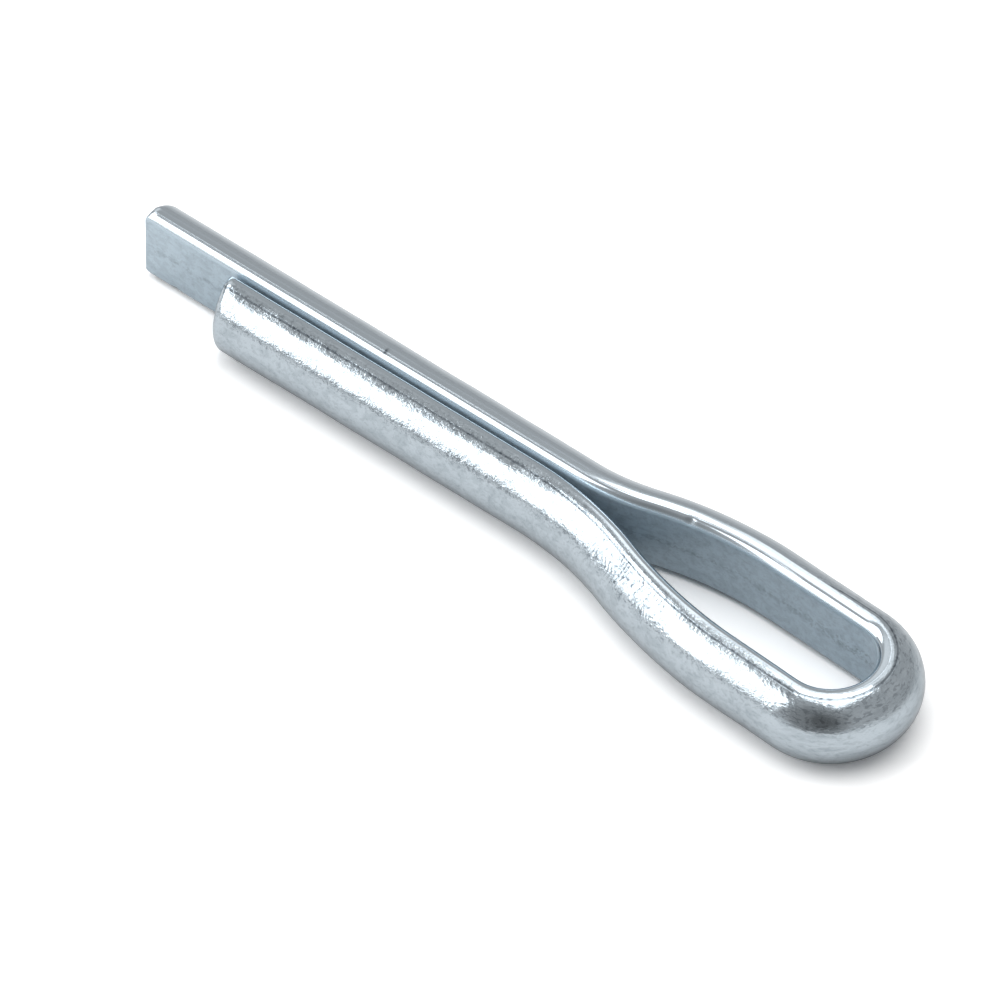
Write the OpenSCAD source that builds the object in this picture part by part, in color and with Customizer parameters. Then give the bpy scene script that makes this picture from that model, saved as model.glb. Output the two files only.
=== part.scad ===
// Split cotter pin: one length of half-round wire, folded so that its two legs
// make a round shank and the fold makes an eye.
// Millimetres. The shank's axis is the X axis, and the eye starts to open at x = 0, with
// the tips towards -X. The pin lies on its side: the loop is level and +Z is up.

/* [Wire] */
// Diameter of the round shank that the two legs make together
shank_d = 9.5; // [8:0.1:12]
// Radius of the two long edges beside the wire's flat side
edge_r = 1.3; // [0.6:0.05:1.6]
// Angle of the faint crease at each side of a rounded edge
crease = 12; // [4:1:20]
// Space between the two flat sides along the shank
leg_gap = 0.44; // [0.2:0.02:0.8]

/* [Legs] */
// Length of the short leg, from the start of its bend to the longest point of its tip
short_leg = 38.2; // [20:0.2:120]
// How far the long leg's tip stands out past the short leg's
tip_step = 10.9; // [3:0.1:16]
// Slant of the short leg's cut, back towards its round side
short_slant = 14; // [0:1:20]
// Rounding of the short leg's cut edge
short_tip_r = 1; // [0.4:0.05:1.2]
// Slant of the long leg's cut, back towards its round side
long_slant = 2; // [0:1:20]
// Rounding of the long leg's cut edge
long_tip_r = 0.45; // [0.2:0.05:1.2]

/* [Eye] */
// Inside length of the eye, from the start of the short leg's bend to the fold
eye_length = 41; // [38:0.5:60]
// How far the short leg's side of the eye stands out
short_spread = 5.5; // [4:0.1:7]
// Radius of the short leg's bend out into the eye
short_out_r = 39; // [20:1:50]
// Radius of the bend that brings the short leg's side back
short_back_r = 50; // [20:1:55]
// Outward lean of the short leg's side of the eye
short_lean = 3.1; // [0:0.1:4]
// Where the long leg starts to bend, past the start of the short leg's bend
long_bend_x = 3.8; // [0:0.1:6]
// How far the long leg's side of the eye stands out
long_spread = 2.9; // [2:0.1:4]
// Radius of the long leg's bend out into the eye
long_out_r = 27; // [15:1:40]
// Radius of the bend that brings the long leg's side back
long_back_r = 40; // [20:1:45]
// Inward lean of the long leg's side of the eye
long_lean = 2.4; // [0:0.1:4]

/* [Hidden] */
$fn = 120;
shank_r = shank_d / 2;
half_gap = leg_gap / 2;
wire_depth = shank_r - half_gap;
long_leg = short_leg + tip_step;

// Centre of the upper long edge's rounding, as far in from the flat side as from the back
edge_in = edge_r * cos(crease);
edge_z = sqrt(pow(shank_r - edge_in, 2) - pow(edge_in + half_gap, 2));
wire_top = edge_z + edge_r;

// The first angle from the wanted one up whose sine and cosine both end within six
// decimals, so that pieces turned by it meet exactly
function neat(angle) = [
    for (i = [0:400])
        let (c = (floor(cos(angle) * 1e6) - i) / 1e6, s = sqrt(1 - c * c))
            if (abs(s - round(s * 1e6) / 1e6) * s < 1e-9) acos(c)
][0];
short_turn = neat(short_lean);
long_turn = neat(long_lean);

// Angle at which a side leaves the shank, so that its two bends add up to its spread.
// Going round the eye, the short leg's side leans outwards and the long leg's inwards.
function out_angle(spread, out_r, back_r, lean) =
    neat(acos((out_r + back_r * cos(lean) - spread) / (out_r + back_r)));
short_out = out_angle(short_spread, short_out_r, short_back_r, short_turn);
long_out = out_angle(long_spread, long_out_r, long_back_r, long_turn);

// How far a side's two bends take it along the shank and away from it
function bends_x(out_r, back_r, out, lean) = (out_r + back_r) * sin(out) + back_r * sin(lean);
function bends_y(out_r, back_r, out, lean) =
    out_r - (out_r + back_r) * cos(out) + back_r * cos(lean);
short_x = bends_x(short_out_r, short_back_r, short_out, -short_turn);
short_y = bends_y(short_out_r, short_back_r, short_out, -short_turn) + half_gap;
long_x = bends_x(long_out_r, long_back_r, long_out, long_turn) + long_bend_x;
long_y = bends_y(long_out_r, long_back_r, long_out, long_turn) + half_gap;

// The fold is the circle that touches both straight runs and ends at the eye's length
fold_r = (short_y + long_y + tan(short_turn) * (eye_length - short_x)
        - tan(long_turn) * (eye_length - long_x))
    / ((1 + sin(short_turn)) / cos(short_turn) + (1 - sin(long_turn)) / cos(long_turn));
fold_x = eye_length - fold_r;
fold_y = long_y - (fold_r + sin(long_turn) * (fold_x - long_x)) / cos(long_turn);
short_run = cos(short_turn) * (fold_x - short_x) - sin(short_turn) * (fold_y + short_y);
long_run = cos(long_turn) * (fold_x - long_x) - sin(long_turn) * (fold_y - long_y);

// What rounding takes off a corner: the wedge from the rounding's centre between the
// directions of the corner's two sides, less the rounding itself
module round_off(centre, radius, side_a, side_b) {
    to_a = 3 * radius * [cos(side_a), sin(side_a)];
    to_b = 3 * radius * [cos(side_b), sin(side_b)];
    translate(centre) difference() {
        polygon([[0, 0], to_a, to_a + to_b, to_b]);
        circle(r = radius);
    }
}

// The wire's section: flat along x = 0, and a round back towards +X about the shank's axis
module wire_section() {
    difference() {
        translate([-half_gap, 0]) circle(r = shank_r);
        translate([-shank_d, -shank_d]) square([shank_d, 2 * shank_d]);
        for (s = [-1, 1])
            round_off([edge_in, s * edge_z], edge_r, 180, s * atan2(edge_z, edge_in + half_gap));
    }
}

// A straight run along +X from the origin, flat side on y = 0 and back towards -Y.
// The children carry on from its end, as they do after a bend.
module run(length) {
    rotate([90, 0, 90]) linear_extrude(length) mirror([1, 0]) wire_section();
    translate([length, 0, 0]) children();
}

// A bend in the level plane that turns the wire from one heading to another. It is what
// is left of a whole ring between the bend's start and its end.
module bend(radius, from, to) {
    turn = sign(to - from);
    reach = radius + shank_d;
    translate([0, turn * radius, 0]) {
        difference() {
            rotate([0, 0, 180]) rotate_extrude()
                translate([radius, 0]) mirror([1 - turn, 0]) wire_section();
            translate([-2 * reach, -reach, -reach]) cube(2 * reach);
            rotate([0, 0, to]) rotate([0, 0, -from]) translate([0, -reach, -reach]) cube(2 * reach);
        }
        rotate([0, 0, to]) rotate([0, 0, -from]) translate([0, -turn * radius, 0]) children();
    }
}

// What a tip loses: all beyond the slanted cut through the origin, and the sharp edge
// of the cut above, below and on the round back
module tip_cut(slant, radius) {
    inset = radius * cos(crease);
    rotate([0, 0, slant]) {
        translate([-shank_d, -shank_d, -shank_d]) cube([shank_d, 2 * shank_d, 2 * shank_d]);
        for (s = [-1, 1])
            translate([0, shank_d, 0]) rotate([90, 0, 0]) linear_extrude(2 * shank_d)
                round_off([inset, s * (wire_top - inset)], radius, 180, s * 90);
    }
    back_x = (inset + (wire_depth - inset) * sin(slant)) / cos(slant);
    translate([0, 0, -shank_d]) linear_extrude(2 * shank_d)
        round_off([back_x, inset - wire_depth], radius, 180 + slant, 270);
}

// A straight leg along +X, with the longest point of its tip at the origin
module leg(length, slant, radius) {
    stock = 1;
    difference() {
        translate([-stock, 0, 0]) run(length + stock);
        tip_cut(slant, radius);
    }
    translate([length, 0, 0]) children();
}

// The wire is followed from the short leg's tip, round the eye, to the long leg's tip
module cotter_pin() color("lightsteelblue")
    translate([-short_leg, -half_gap, 0])
    leg(short_leg, short_slant, short_tip_r)
    bend(short_out_r, 0, -short_out)
    bend(short_back_r, -short_out, -short_turn)
    run(short_run)
    bend(fold_r, -short_turn, 90)
    bend(fold_r, 90, 180 - long_turn)
    run(long_run)
    bend(long_back_r, 180 - long_turn, 180 + long_out)
    bend(long_out_r, 180 + long_out, 180)
    translate([long_leg + long_bend_x, 0, 0]) mirror([1, 0, 0])
    leg(long_leg + long_bend_x, long_slant, long_tip_r);

cotter_pin();
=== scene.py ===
import math
import bpy
import numpy as np
from mathutils import Matrix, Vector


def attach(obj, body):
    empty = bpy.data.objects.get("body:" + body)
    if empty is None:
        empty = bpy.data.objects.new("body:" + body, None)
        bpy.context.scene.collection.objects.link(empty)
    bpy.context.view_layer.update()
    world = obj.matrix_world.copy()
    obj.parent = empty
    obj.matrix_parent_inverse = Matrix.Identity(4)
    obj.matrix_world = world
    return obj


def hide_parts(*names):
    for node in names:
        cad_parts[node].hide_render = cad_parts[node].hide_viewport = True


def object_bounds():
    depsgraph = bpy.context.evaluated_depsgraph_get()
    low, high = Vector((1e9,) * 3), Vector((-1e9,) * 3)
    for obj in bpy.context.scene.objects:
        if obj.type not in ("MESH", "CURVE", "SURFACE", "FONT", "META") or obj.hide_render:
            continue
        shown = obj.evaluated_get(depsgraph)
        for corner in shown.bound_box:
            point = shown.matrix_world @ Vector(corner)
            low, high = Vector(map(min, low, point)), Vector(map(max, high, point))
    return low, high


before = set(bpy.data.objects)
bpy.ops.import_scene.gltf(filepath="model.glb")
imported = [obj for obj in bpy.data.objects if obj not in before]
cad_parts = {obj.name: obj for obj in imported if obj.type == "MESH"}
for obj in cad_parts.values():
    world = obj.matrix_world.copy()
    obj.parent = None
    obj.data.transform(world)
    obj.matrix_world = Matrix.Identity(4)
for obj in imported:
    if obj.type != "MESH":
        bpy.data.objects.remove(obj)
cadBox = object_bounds()
print("frame loaded")

mm = 0.001

# Everything in this dictionary is in mm and degrees. The wire starts at the tip of the
# short leg, runs round the eye and ends at the tip of the long leg.
pin = dict(
    shankDiameter=9.5, edgeRadius=1.3, crease=12, creaseSoftness=0.035, legGap=0.44,
    shortLeg=38.2, shortOut=20.41, shortOutRadius=39,
    shortLean=3.12, shortBackRadius=50, shortRun=8.05,
    foldRadius=4.405,
    longRun=11.68, longLean=2.42, longBackRadius=40,
    longOut=17.03, longOutRadius=27, longLeg=53.08,
    blend=1.2,
    shortSlant=14, shortRound=1.0, longSlant=2, longRound=0.9,
    # The flat is rounded over by this share of the round, and the rounding fades towards
    # it by this power of how far the outline faces it.
    flatShare=0.22, flatFade=3,
    stations=860, around=104, roundRings=8, capRings=10, capSpread=0.8, tipClearance=0.15,
    # Each dent is its place along the wire, its depth and its height, then its widths
    # along and across, then how deep it is.
    dents=[
        ((171.8, 0.3, -3.4), (0.35, 0.5), 0.16),
        ((110.0, 0.2, 3.9), (0.35, 0.5), 0.07),
        ((56.3, 2.2, -3.6), (0.3, 0.5), 0.06),
    ],
    swell=0.010, swellSizes=(3, 10), swellStretch=(0.8, 1, 1), swellWaves=26, swellUsualSize=6,
    swellOnEdges=0.35, swellSeed=7,
)

# Where the surface changes. Pairs are where a change starts and ends: degrees round the
# section's back or of the outline's turn, shares of how squarely it faces the flat, or mm
# along the wire or above its middle.
surface = dict(
    backEnds=(64, 78), flatFacing=(0.955, 0.995), dullFacing=(0.75, 0.97), cutFade=4,
    smoothLeg=(86, 101), smoothSide=(36, 56), smoothness=0.88,
    pitsStart=(18, 30), foldAt=82, foldWidth=7, foldSmoothness=0.5,
    creaseNear=116.5, creaseFar=66, creaseCrossing=97, crossingTurn=9, crossingWidth=3,
    bendAt=55, bendWidth=6.5, foldWorkedAt=80, foldWorkedWidth=6, foldWorked=0.35,
    workedHeight=(1.5, 3.0), workedFacing=(117, 121),
    nickPlace=(146.2, 0.75, 4.35), nickWidths=(0.13, 0.33), nickStrength=1.4,
)


# The wire's line on the level plane: each stretch is a size and the angle it turns.
# The heading runs evenly through each stretch, is smoothed over the blend length, and
# its cosine and sine are summed into x and y.
def wirePath(step=0.02):
    stretches = [
        (pin["shortLeg"], 0),
        (pin["shortOutRadius"], -pin["shortOut"]),
        (pin["shortBackRadius"], pin["shortOut"] - pin["shortLean"]),
        (pin["shortRun"], 0),
        (pin["foldRadius"], 180 + pin["shortLean"] - pin["longLean"]),
        (pin["longRun"], 0),
        (pin["longBackRadius"], pin["longOut"] + pin["longLean"]),
        (pin["longOutRadius"], -pin["longOut"]),
        (pin["longLeg"], 0),
    ]
    turns = np.radians([turn for size, turn in stretches])
    # A turning stretch's size is its radius, and a straight one's is its length.
    lengths = np.array([size * (abs(math.radians(turn)) if turn else 1) for size, turn in stretches])
    ends = np.concatenate([[0], np.cumsum(lengths)])
    along = np.linspace(0, ends[-1], int(ends[-1] / step) + 1)
    heading = np.interp(along, ends, np.concatenate([[0], np.cumsum(turns)]))
    half = int(pin["blend"] / step / 2)
    weights = np.hanning(2 * half + 3)[1:-1]
    heading = np.convolve(np.pad(heading, half, mode="edge"), weights / weights.sum(), "valid")
    middle = (heading[1:] + heading[:-1]) / 2
    gap = along[1] - along[0]
    x = np.concatenate([[0], np.cumsum(np.cos(middle))]) * gap - pin["shortLeg"]
    y = np.concatenate([[0], np.cumsum(np.sin(middle))]) * gap - pin["legGap"] / 2
    return along, x, y, heading, ends


# The wire's section, from the middle of the round back down and round: a circle about
# the shank's axis, a small circle at each edge, and the flat. Depth is measured from the
# flat, height from the level plane. Corners are softened by a Gaussian blur, and points
# are closer together where the outline turns.
def wireSection(count):
    r, big, gap = pin["edgeRadius"], pin["shankDiameter"] / 2, pin["legGap"] / 2
    crease = math.radians(pin["crease"])
    inset = r * math.cos(crease)
    reach = big - inset
    rise = math.sqrt(reach ** 2 - (inset + gap) ** 2)
    backAngle = math.atan2(rise, inset + gap)
    backAngle += math.acos((big ** 2 + reach ** 2 - r ** 2) / (2 * big * reach))
    meetDepth, meetHeight = big * math.cos(backAngle) - gap, big * math.sin(backAngle)
    edgeStart = math.atan2(meetHeight - rise, meetDepth - inset)
    fine = np.linspace(0, 1, 1500)[:-1]
    backTurn = backAngle * fine
    edgeTurn = edgeStart + (math.pi - crease - edgeStart) * fine
    flatTop = rise + r * math.sin(crease)
    depth = np.concatenate([big * np.cos(backTurn) - gap, inset + r * np.cos(edgeTurn), 0 * fine])
    height = np.concatenate([big * np.sin(backTurn), rise + r * np.sin(edgeTurn), flatTop * (1 - fine)])
    depth = np.concatenate([depth, [0], depth[:0:-1]])
    height = np.concatenate([height, [0], -height[:0:-1]])
    perimeter = np.concatenate([[0], np.cumsum(np.hypot(np.diff(depth), np.diff(height)))])
    closing = math.hypot(depth[0] - depth[-1], height[0] - height[-1])
    perimeter = np.append(perimeter, perimeter[-1] + closing)
    even = np.linspace(0, perimeter[-1], 4097)[:-1]
    outline = np.interp(even, perimeter, np.append(depth, depth[0])) \
        + 1j * np.interp(even, perimeter, np.append(height, height[0]))
    waves = np.fft.fftfreq(even.size, even[1])
    outline = np.fft.ifft(np.fft.fft(outline) * np.exp(-2 * (np.pi * waves * pin["creaseSoftness"]) ** 2))
    tangent = np.roll(outline, -1) - np.roll(outline, 1)
    bend = np.abs(np.angle(np.roll(tangent, -1) / tangent)) / even[1]
    share = np.concatenate([[0], np.cumsum(1 + 3.2 * np.minimum(bend, 3))])
    closedPlaces = np.append(even, perimeter[-1])
    places = np.interp(np.linspace(0, share[-1], count + 1)[:-1], share, closedPlaces)
    closedLine = np.append(outline, outline[0])
    closedTangent = np.append(tangent, tangent[0])
    depth = np.interp(places, closedPlaces, closedLine.real)
    height = np.interp(places, closedPlaces, closedLine.imag)
    normal = np.interp(places, closedPlaces, closedTangent.real) \
        + 1j * np.interp(places, closedPlaces, closedTangent.imag)
    return depth, height, -1j * normal / np.abs(normal)


# Rings that close one end. Those of the rounding go in by round*(1 - cos) and forward by
# round*sin of an angle up to 90 degrees, and those of the cut shrink to one point.
# Forward is measured from the plane of the cut, which leans back by the slant.
def tipRings(depth, height, normal, slant, radius):
    facing = np.clip(-normal.real, 0, 1) ** pin["flatFade"]
    share = radius * (1 - (1 - pin["flatShare"]) * facing)
    angles = np.linspace(0, math.pi / 2, pin["roundRings"] + 1)[:, None]
    inset = share * (1 - np.cos(angles))
    ringDepth = depth - normal.real * inset
    ringHeight = height - normal.imag * inset
    behind = share * (1 - np.sin(angles))
    shrink = np.linspace(1, 0, pin["capRings"] + 1)[1:-1, None] ** pin["capSpread"]
    middle = ringDepth[-1].mean()
    capDepth = middle + (ringDepth[-1] - middle) * shrink
    capHeight = ringHeight[-1] * shrink
    ringDepth = np.vstack([ringDepth, capDepth])
    ringHeight = np.vstack([ringHeight, capHeight])
    behind = np.vstack([behind, 0 * capDepth]) + ringDepth * math.tan(math.radians(slant))
    cut = np.vstack([0 * inset + (angles / (math.pi / 2)) ** surface["cutFade"], 0 * capDepth + 1])
    return ringDepth, ringHeight, behind, middle, cut


def smooth(value, start, end):
    t = np.clip((value - start) / (end - start), 0, 1)
    return t * t * (3 - 2 * t)


# Slow hills and hollows of the drawn wire: a sum of plane waves in the straightened
# wire's own space, each with a seeded direction, wavelength and phase.
def swell(along, depth, height):
    rng = np.random.default_rng(pin["swellSeed"])
    total = 0 * along
    for wave in range(pin["swellWaves"]):
        way = rng.normal(size=3) * pin["swellStretch"]
        way /= np.linalg.norm(way)
        size = rng.uniform(*pin["swellSizes"])
        across = along * way[0] + depth * way[1] + height * way[2]
        total += size * np.cos(2 * np.pi / size * across + rng.uniform(0, 2 * np.pi))
    return total * pin["swell"] / math.sqrt(pin["swellWaves"] / 2) / pin["swellUsualSize"]


# A small dent: a bell of the given widths along and across the wire, pushed in by deep.
def dent(along, depth, height, at, wide, deep):
    return -deep * np.exp(-((along - at[0]) / wide[0]) ** 2
                          - ((depth - at[1]) ** 2 + (height - at[2]) ** 2) / wide[1] ** 2)


def buildPin():
    along, x, y, heading, ends = wirePath()
    depth, height, normal = wireSection(pin["around"])
    total = ends[-1]
    shortTip = tipRings(depth, height, normal, pin["shortSlant"], pin["shortRound"])
    longTip = tipRings(depth, height, normal, pin["longSlant"], pin["longRound"])
    count, clear = pin["stations"], pin["tipClearance"]
    main = np.linspace(shortTip[2][0].max() + clear, total - longTip[2][0].max() - clear, count)

    def gather(first, middle, last, startPole, endPole):
        return np.concatenate([[startPole], np.vstack([first[::-1], middle, last]).ravel(), [endPole]])

    ones = np.ones((count, 1))
    slants = [math.tan(math.radians(pin[name])) for name in ("shortSlant", "longSlant")]
    ringAlong = gather(shortTip[2], main[:, None] + 0 * depth, total - longTip[2],
                       shortTip[3] * slants[0], total - longTip[3] * slants[1])
    ringDepth = gather(shortTip[0], ones * depth, longTip[0], shortTip[3], longTip[3])
    ringHeight = gather(shortTip[1], ones * height, longTip[1], 0, 0)
    cut = gather(shortTip[4], ones * 0 * depth, longTip[4], 1, 1)
    rings = shortTip[0].shape[0] + count + longTip[0].shape[0]
    outDepth = np.concatenate([[0], np.tile(normal.real, rings), [0]]) * (1 - cut)
    outHeight = np.concatenate([[0], np.tile(normal.imag, rings), [0]]) * (1 - cut)

    backAngle = np.degrees(np.arctan2(np.abs(ringHeight), ringDepth + pin["legGap"] / 2))
    back = 1 - smooth(backAngle, *surface["backEnds"])
    flat = smooth(-outDepth, *surface["flatFacing"])
    dull = smooth(-outDepth, *surface["dullFacing"])
    edges = pin["swellOnEdges"]
    push = swell(ringAlong, ringDepth, ringHeight) * (edges + (1 - edges) * back) * (1 - flat)
    for at, wide, deep in pin["dents"]:
        push += dent(ringAlong, ringDepth, ringHeight, at, wide, deep)
    turn = np.interp(ringAlong, along, heading)
    outward = ringDepth + outDepth * push
    px = np.interp(ringAlong, along, x) + np.sin(turn) * outward
    py = np.interp(ringAlong, along, y) - np.cos(turn) * outward
    pz = ringHeight + outHeight * push
    points = np.stack([px, py, pz], 1) * mm

    first = 1 + np.arange(rings - 1)[:, None] * depth.size
    column = np.arange(depth.size)
    after = np.roll(column, -1)
    quads = np.stack([first + column, first + depth.size + column,
                      first + depth.size + after, first + after], -1).reshape(-1, 4)
    last = ringAlong.size - 1
    lastRing = last - depth.size
    startFan = np.stack([0 * column, 1 + column, 1 + after], 1)
    endFan = np.stack([0 * column + last, lastRing + after, lastRing + column], 1)
    mesh = bpy.data.meshes.new("split_pin")
    mesh.from_pydata(points, [], quads.tolist() + startFan.tolist() + endFan.tolist())
    mesh.polygons.foreach_set("use_smooth", np.ones(len(mesh.polygons), dtype=bool))

    def near(at, width):
        return np.exp(-((ringAlong - at) / width) ** 2)

    # peel is where the plating is pebbled, pitted where it is bumped and specked with painted
    # shade, and worked where bending has wrinkled it. The long leg's top is smoother than the rest.
    longTop = smooth(ringAlong, *surface["smoothLeg"]) * smooth(backAngle, *surface["smoothSide"])
    peel = back * (1 - surface["smoothness"] * longTop)
    calmer = 1 - surface["foldSmoothness"] * near(surface["foldAt"], surface["foldWidth"])
    pitted = peel * smooth(backAngle, *surface["pitsStart"]) * calmer
    # How far the surface has turned from the crease, in degrees. The crease runs where the
    # rounded edge meets the back, and past the fold on the edge's own flat side.
    turned = np.degrees(np.arctan2(np.abs(outHeight), -outDepth))
    crossing = surface["creaseCrossing"]
    creaseTurn = np.where(ringAlong < crossing, surface["creaseNear"], surface["creaseFar"])
    offCrease = turned - creaseTurn + surface["crossingTurn"] * near(crossing, surface["crossingWidth"])
    worked = near(surface["bendAt"], surface["bendWidth"])
    worked += surface["foldWorked"] * near(surface["foldWorkedAt"], surface["foldWorkedWidth"])
    worked *= back * smooth(ringHeight, *surface["workedHeight"])
    worked *= smooth(turned, *surface["workedFacing"])
    nick = -dent(ringAlong, ringDepth, ringHeight, surface["nickPlace"], surface["nickWidths"], 1)
    nick = np.minimum(surface["nickStrength"] * nick, 1)
    marks = dict(peel=peel, pitted=pitted, flat=flat, dull=dull, cut=cut, worked=worked,
                 offCrease=offCrease, nick=nick)
    for name, values in marks.items():
        layer = mesh.attributes.new(name, "FLOAT", "POINT")
        layer.data.foreach_set("value", values.astype(np.float32))
    # straight is each point's place on the wire as if it were not bent.
    straight = np.stack([ringAlong, ringDepth, ringHeight], 1).astype(np.float32)
    layer = mesh.attributes.new("straight", "FLOAT_VECTOR", "POINT")
    layer.data.foreach_set("vector", straight.ravel())
    mesh.update()
    piece = bpy.data.objects.new("split_pin", mesh)
    bpy.context.collection.objects.link(piece)
    return piece


splitPin = buildPin()
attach(splitPin, "root")
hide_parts("cotter_pin")
print("wire swept:", len(splitPin.data.polygons), "faces")


# A socket that can be added, multiplied and so on, each step a Math node.
class Flow:
    def __init__(self, tree, socket=None):
        self.tree, self.socket = tree, socket

    def node(self, kind, settings=None, values=None, output=0):
        made = self.tree.nodes.new(kind)
        for name, value in (settings or {}).items():
            setattr(made, name, value)
        for name, value in (values or {}).items():
            if isinstance(value, Flow):
                self.tree.links.new(value.socket, made.inputs[name])
            else:
                made.inputs[name].default_value = value
        return Flow(self.tree, made.outputs[output]) if made.outputs else made

    def math(self, operation, *values):
        return self.node("ShaderNodeMath", dict(operation=operation), dict(enumerate(values)))

    def __add__(self, other):
        return self.math("ADD", self, other)

    def __radd__(self, other):
        return self.math("ADD", other, self)

    def __sub__(self, other):
        return self.math("SUBTRACT", self, other)

    def __rsub__(self, other):
        return self.math("SUBTRACT", other, self)

    def __mul__(self, other):
        return self.math("MULTIPLY", self, other)

    def __rmul__(self, other):
        return self.math("MULTIPLY", other, self)

    # 0 below start, 1 above end, with a smooth step between
    def step(self, start, end):
        settings = dict(interpolation_type="SMOOTHSTEP")
        return self.node("ShaderNodeMapRange", settings, {0: self, 1: start, 2: end})

    # the first colour at 0 and the second at 1
    def between(self, first, second):
        return self.node("ShaderNodeMix", dict(data_type="RGBA"), {0: self, 6: first, 7: second}, 2)

    def noise(self, scale, stretch=(1, 1, 1), detail=2.0, warp=0.0, shift=(0, 0, 0)):
        moved = {0: self, 1: stretch, 2: shift}
        where = self.node("ShaderNodeVectorMath", dict(operation="MULTIPLY_ADD"), moved)
        values = dict(Vector=where, Scale=scale, Detail=detail, Distortion=warp)
        return self.node("ShaderNodeTexNoise", {}, values)


# Heights and sizes are in mm, and stains and painted shade are shares from 0 to 1. Each pattern
# is a noise in the straightened wire's space: how many to a mm, stretch, detail, warp, shift.
zinc = dict(
    colour=(0.583, 0.652, 0.705), flatColour=(0.51, 0.612, 0.684),
    # The darkest colour on the next line is used for the painted shade in pits, along the crease and on
    # the wrinkles, and also darkens the nick and the cut face.
    tarnish=(0.436, 0.498, 0.542), flatTarnish=(0.385, 0.465, 0.53), shadeAndDarkMarks=(0.10, 0.125, 0.15),
    roughness=0.11, cloudRoughness=0.07, workedRoughness=0.12,
    flatRoughness=0.33, cutRoughness=0.40, flatMetallic=0.55,
    pebbleHeight=0.016, grainHeight=0.008, lineHeight=0.0012, smudgeHeight=0.004,
    flatGrainHeight=0.004, shearHeight=0.05, wrinkleHeight=0.014, creaseDepth=0.01,
    wrinkleSize=0.55, wrinkleDrift=36, creaseWidth=(0.5, 2.0),
    peelStain=0.8, flatStain=0.7, cutStain=0.5, blotchStain=0.6, fineStain=0.22,
    # The pit, wrinkle and crease shares below are painted shade: how far each pulls the colour towards
    # the dark colour. The cut's share darkens the cut face all over.
    peelPitShade=0.16, pittedPitShade=0.26, flatPitShade=0.12, workedPitShade=0.2,
    wrinkleShade=0.42, creaseShade=0.3, creaseLineShade=0.6, cutPits=0.35,
    patterns=dict(
        cloud=(0.45, (0.6, 1, 1), 3.0),
        blotch=(1.3, (0.7, 1, 1), 3.0, 0.4, (3, 0, 5)),
        pebble=(1 / 0.28, (0.7, 1, 1), 1.0, 0.7),
        grain=(1 / 0.12, (1, 1, 1), 1.0, 0.0, (9, 2, 0)),
        speck=(1 / 0.3, (0.8, 1, 1), 1.0, 0.6, (5, 5, 0)),
        lines=(1.0, (0.05, 7, 7), 3.0),
        smudge=(1.1, (0.5, 1, 1), 4.0, 0.8, (0, 7, 1)),
        drift=(0.5, (0.6, 1, 1), 1.0, 0.3, (2, 0, 4)),
        shear=(1.0, (0, 0.8, 9), 3.0),
    ),
)


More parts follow.
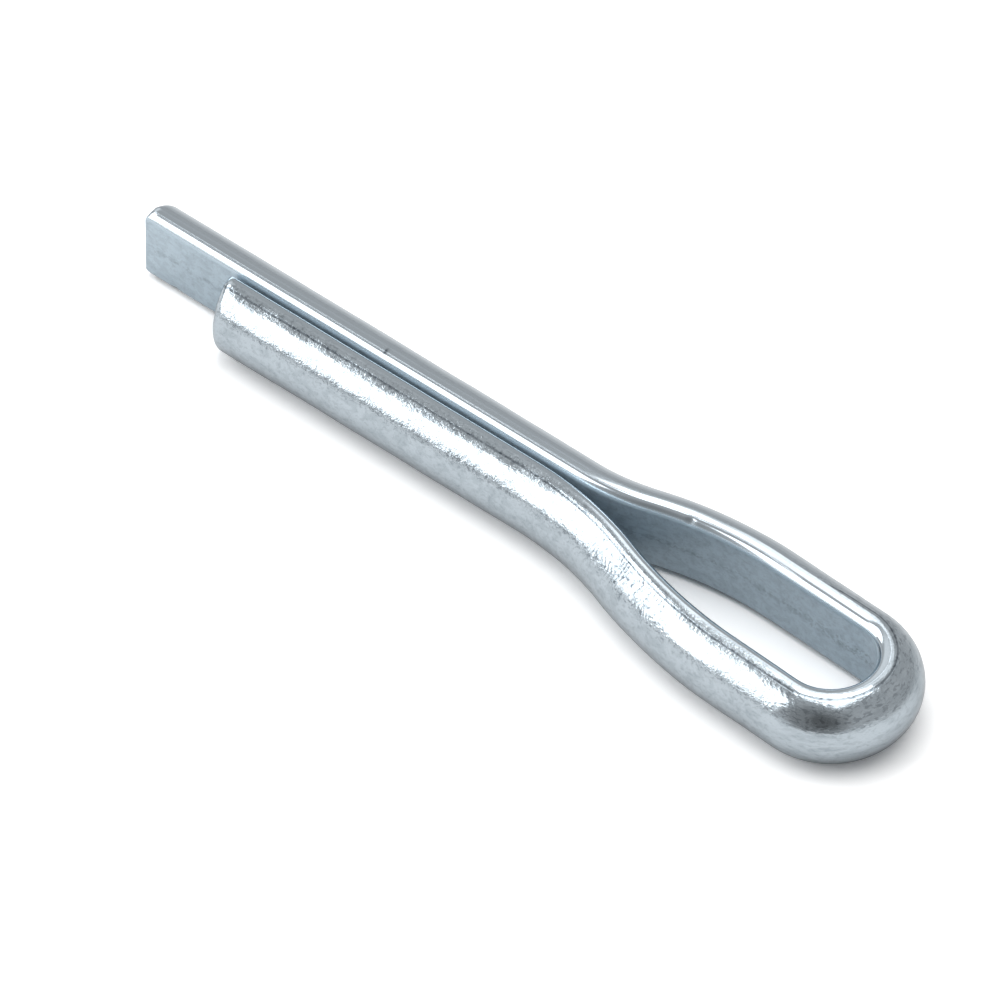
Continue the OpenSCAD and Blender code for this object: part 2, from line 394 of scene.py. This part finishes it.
def makeZinc():
    material = bpy.data.materials.new("zinc_plated_steel")
    material.use_nodes = True
    tree = material.node_tree
    tree.nodes.clear()
    start = Flow(tree)

    def mark(name, output="Fac"):
        return start.node("ShaderNodeAttribute", dict(attribute_name=name), output=output)

    where = mark("straight", "Vector")
    peel, pitted, flat, dull = mark("peel"), mark("pitted"), mark("flat"), mark("dull")
    cut, worked, offCrease, nick = mark("cut"), mark("worked"), mark("offCrease"), mark("nick")
    pattern = {name: where.noise(*values) for name, values in zinc["patterns"].items()}
    cloud, blotch, grain = pattern["cloud"], pattern["blotch"], pattern["grain"]

    # Wrinkles are lines across the wire at an even spacing, bent by a slow noise.
    along = start.node("ShaderNodeSeparateXYZ", {}, dict(Vector=where), "X")
    phase = along * (2 * math.pi / zinc["wrinkleSize"]) + pattern["drift"] * zinc["wrinkleDrift"]
    wrinkle = start.math("SINE", phase) * cloud.step(0.3, 0.6)

    crease = 1 - offCrease.math("ABSOLUTE", offCrease).step(*zinc["creaseWidth"])
    crease = crease * (1 - cut)
    rough = (0.5 * peel + 0.5 * pitted) * (0.6 + 0.8 * cloud.step(0.35, 0.65))
    height = rough * (pattern["pebble"] * zinc["pebbleHeight"] + grain * zinc["grainHeight"])
    height = height - crease * zinc["creaseDepth"] + pattern["lines"] * zinc["lineHeight"]
    height = height + worked * wrinkle * zinc["wrinkleHeight"]
    height = height + flat * pattern["smudge"] * zinc["smudgeHeight"]
    height = height + flat * grain * zinc["flatGrainHeight"]
    height = height + cut * pattern["shear"] * zinc["shearHeight"]
    relief = start.node("ShaderNodeBump", {}, dict(Strength=1.0, Distance=mm, Height=height))

    hazy = cloud.step(0.45, 0.7) * 0.5 + blotch.step(0.5, 0.68) * 0.5
    roughness = zinc["roughness"] + hazy * peel * zinc["cloudRoughness"]
    roughness = roughness + dull * (zinc["flatRoughness"] - zinc["roughness"])
    roughness = roughness + worked * zinc["workedRoughness"]
    roughness = roughness + cut * (zinc["cutRoughness"] - zinc["roughness"])
    metallic = 1 - dull * (1 - zinc["flatMetallic"])

    fine = grain.step(0.4, 0.62) + cloud.step(0.4, 0.6)
    patch = blotch.step(0.44, 0.60) * zinc["blotchStain"] + fine * zinc["fineStain"]
    stain = (peel * zinc["peelStain"] + flat * zinc["flatStain"]) * patch + cut * zinc["cutStain"]
    clean = dull.between((*zinc["colour"], 1), (*zinc["flatColour"], 1))
    stained = dull.between((*zinc["tarnish"], 1), (*zinc["flatTarnish"], 1))
    colour = stain.between(clean, stained)
    # Painted shade: dark specks where the plating's pits would lie in shade pull the colour towards the
    # dark colour, most in the pebbled, pitted and worked parts. The cut face is darkened evenly as well.
    paintedShadeAndCut = peel * zinc["peelPitShade"] + pitted * zinc["pittedPitShade"]
    paintedShadeAndCut = paintedShadeAndCut + flat * zinc["flatPitShade"] + worked * zinc["workedPitShade"]
    paintedShadeAndCut = paintedShadeAndCut * (1 - pattern["speck"].step(0.34, 0.48))
    # Painted shade on the wrinkles: one side of each wrinkle line is darkened in colour.
    paintedShadeAndCut = paintedShadeAndCut + worked * zinc["wrinkleShade"] * wrinkle.step(0.35, 0.9)
    # Painted shade along the crease: a thin dark line where the rounded edge meets the back, streaked by
    # the drawn lines.
    paintedShadeAndCut = paintedShadeAndCut + crease * (zinc["creaseShade"] + zinc["creaseLineShade"] * pattern["lines"])
    paintedShadeAndCut = paintedShadeAndCut + cut * zinc["cutPits"]
    colour = paintedShadeAndCut.between(colour, (*zinc["shadeAndDarkMarks"], 1))
    colour = nick.between(colour, (*zinc["shadeAndDarkMarks"], 1))
    values = {"Base Color": colour, "Metallic": metallic, "Roughness": roughness, "Normal": relief}
    shader = start.node("ShaderNodeBsdfPrincipled", {}, values)
    start.node("ShaderNodeOutputMaterial", {}, dict(Surface=shader))
    return material


splitPin.data.materials.append(makeZinc())
print("material made")


# A light tent in metres and degrees. Azimuth 0 is the -Y side and 90 the +X side. A card
# is a soft-edged round patch of the surroundings: azimuth, elevation, full radius, faded
# radius, and how bright it is. A panel is a flat lamp of even radiance. Over and rim are
# small panels close to the eye, for the bright edge round it.
studio = dict(
    floorSize=4.0, floorColour=0.8, floorInCamera=1.52, floorInMetal=0.94,
    shadeReach=0.012, shade=0.42, shadeSamples=4, behind=0.62, behindFrom=(-0.005, 0.05),
    room=0.5, horizon=0.8, horizonTop=9, frontFrom=(-0.6, 0.2),
    cards=[
        (24, 24, 22, 44, 0.27),
        (30, 28, 8, 20, 0.13),
        (-115, 33, 12, 24, 0.95),
        (-172, 53, 10, 22, 1.2),
    ],
    panels=dict(
        side=dict(at=(-0.940, -0.924, 0.716), aim=(0, 0, 0), size=(1.0, 1.06), radiance=2.4),
        left=dict(at=(-1.139, -0.370, 0.903), aim=(0, 0, 0), size=(0.6, 0.92), radiance=2.4),
        roof=dict(at=(0.12, 0.03, 1.0), aim=(0.12, 0.03, 0), size=(0.85, 0.82), radiance=2.1),
        over=dict(at=(-0.05, 0.0325, 0.25), aim=(-0.05, 0.0325, 0), size=(0.095, 0.175), radiance=1.6),
        rim=dict(at=(-0.108, 0.19, 0.25), aim=(-0.108, 0, 0), size=(0.036, 0.26), radiance=1.1),
    ),
)


def direction(azimuth, elevation):
    a, e = math.radians(azimuth), math.radians(elevation)
    return np.array([math.sin(a) * math.cos(e), -math.cos(a) * math.cos(e), math.sin(e)])


def makeFloor():
    half, low = studio["floorSize"] / 2, cadBox[0][2]
    corners = [(-half, -half, low), (half, -half, low), (half, half, low), (-half, half, low)]
    mesh = bpy.data.meshes.new("floor")
    mesh.from_pydata(corners, [], [(0, 1, 2, 3)])
    floor = bpy.data.objects.new("floor", mesh)
    bpy.context.collection.objects.link(floor)
    paint = bpy.data.materials.new("floor")
    paint.use_nodes = True
    tree = paint.node_tree
    tree.nodes.clear()
    start = Flow(tree)
    camera = start.node("ShaderNodeLightPath", output="Is Camera Ray")
    glossy = start.node("ShaderNodeLightPath", output="Is Glossy Ray")
    through = start.node("ShaderNodeLightPath", output="Is Transmission Ray")
    where = start.node("ShaderNodeTexCoord", output="Object")
    y = start.node("ShaderNodeSeparateXYZ", {}, dict(Vector=where), "Y")
    # In the metal the floor is dimmer behind the object, and close to it by how much of
    # the sky the object hides.
    dim = 1 - (1 - studio["behind"]) * y.step(*studio["behindFrom"])
    openness = start.node("ShaderNodeAmbientOcclusion", dict(samples=studio["shadeSamples"]),
                          dict(Distance=studio["shadeReach"]), "AO")
    shade = 1 - studio["shade"] * (1 - openness)
    mirrored = (glossy + through) * (studio["floorInMetal"] * dim * shade - 1)
    level = studio["floorColour"] * (1 + camera * (studio["floorInCamera"] - 1) + mirrored)
    colour = start.node("ShaderNodeCombineXYZ", {}, {0: level, 1: level, 2: level})
    diffuse = start.node("ShaderNodeBsdfDiffuse", {}, dict(Color=colour))
    start.node("ShaderNodeOutputMaterial", {}, dict(Surface=diffuse))
    mesh.materials.append(paint)


def makeWorld():
    world = bpy.data.worlds.new("studio")
    bpy.context.scene.world = world
    world.use_nodes = True
    tree = world.node_tree
    tree.nodes.clear()
    start = Flow(tree)
    way = start.node("ShaderNodeTexCoord", output="Generated")

    def facing(azimuth, elevation):
        aim = tuple(direction(azimuth, elevation))
        dot = dict(operation="DOT_PRODUCT")
        return way.node("ShaderNodeVectorMath", dot, {0: way, 1: aim}, "Value")

    def cosine(angle):
        return math.cos(math.radians(angle))

    # A band of the horizon on the camera's side is brighter than the room.
    low = 1 - facing(0, 90).step(cosine(88), cosine(90 - studio["horizonTop"]))
    front = facing(0, 0).step(*studio["frontFrom"])
    level = studio["room"] + low * front * (studio["horizon"] - studio["room"])
    for azimuth, elevation, full, faded, bright in studio["cards"]:
        mask = facing(azimuth, elevation).step(cosine(faded), cosine(full))
        level = level * (1 - mask) + mask * bright
    camera = start.node("ShaderNodeLightPath", output="Is Camera Ray")
    level = level * (1 - camera) + camera
    light = start.node("ShaderNodeBackground", {}, dict(Color=(1, 1, 1, 1), Strength=level))
    start.node("ShaderNodeOutputWorld", {}, dict(Surface=light))


# Turns an object's own Z to back and its X level, and puts it in the scene.
def putInScene(holder, back, where):
    back = np.array(back, float)
    upright = abs(back[2]) >= 0.999
    right = np.array([1.0, 0, 0]) if upright else np.cross([0, 0, 1], back)
    right /= np.linalg.norm(right)
    up = np.cross(back, right)
    rows = [[right[i], up[i], back[i], where[i]] for i in range(3)]
    holder.matrix_world = Matrix(rows + [[0, 0, 0, 1]])
    bpy.context.collection.objects.link(holder)
    return right, up


def makePanel(name, panel):
    lamp = bpy.data.lights.new(name, "AREA")
    lamp.shape = "RECTANGLE"
    lamp.size, lamp.size_y = panel["size"]
    lamp.energy = panel["radiance"] * math.pi * lamp.size * lamp.size_y
    back = np.subtract(panel["at"], panel["aim"])
    putInScene(bpy.data.objects.new(name, lamp), back / np.linalg.norm(back), panel["at"])


makeFloor()
makeWorld()
for name, panel in studio["panels"].items():
    makePanel(name, panel)
print("studio lit")


# Degrees; metres for the distance; mm for the lens and for the point looked at, which is
# a place on X and then a shift to the right and up in the view.
view = dict(azimuth=39.52, elevation=47.493, distance=2.5, lens=952.02, sensor=36,
            aimX=7.125, aimRight=-9.453, aimUp=2.147)


def makeCamera():
    back = direction(view["azimuth"], view["elevation"])
    camera = bpy.data.cameras.new("camera")
    camera.lens = view["lens"]
    camera.sensor_width = view["sensor"]
    holder = bpy.data.objects.new("camera", camera)
    right, up = putInScene(holder, back, (0, 0, 0))
    aim = (np.array([view["aimX"], 0, 0]) + right * view["aimRight"] + up * view["aimUp"]) * mm
    holder.location = aim + back * view["distance"]
    bpy.context.scene.camera = holder


makeCamera()
bpy.context.scene.view_settings.view_transform = "Standard"
print("camera placed")
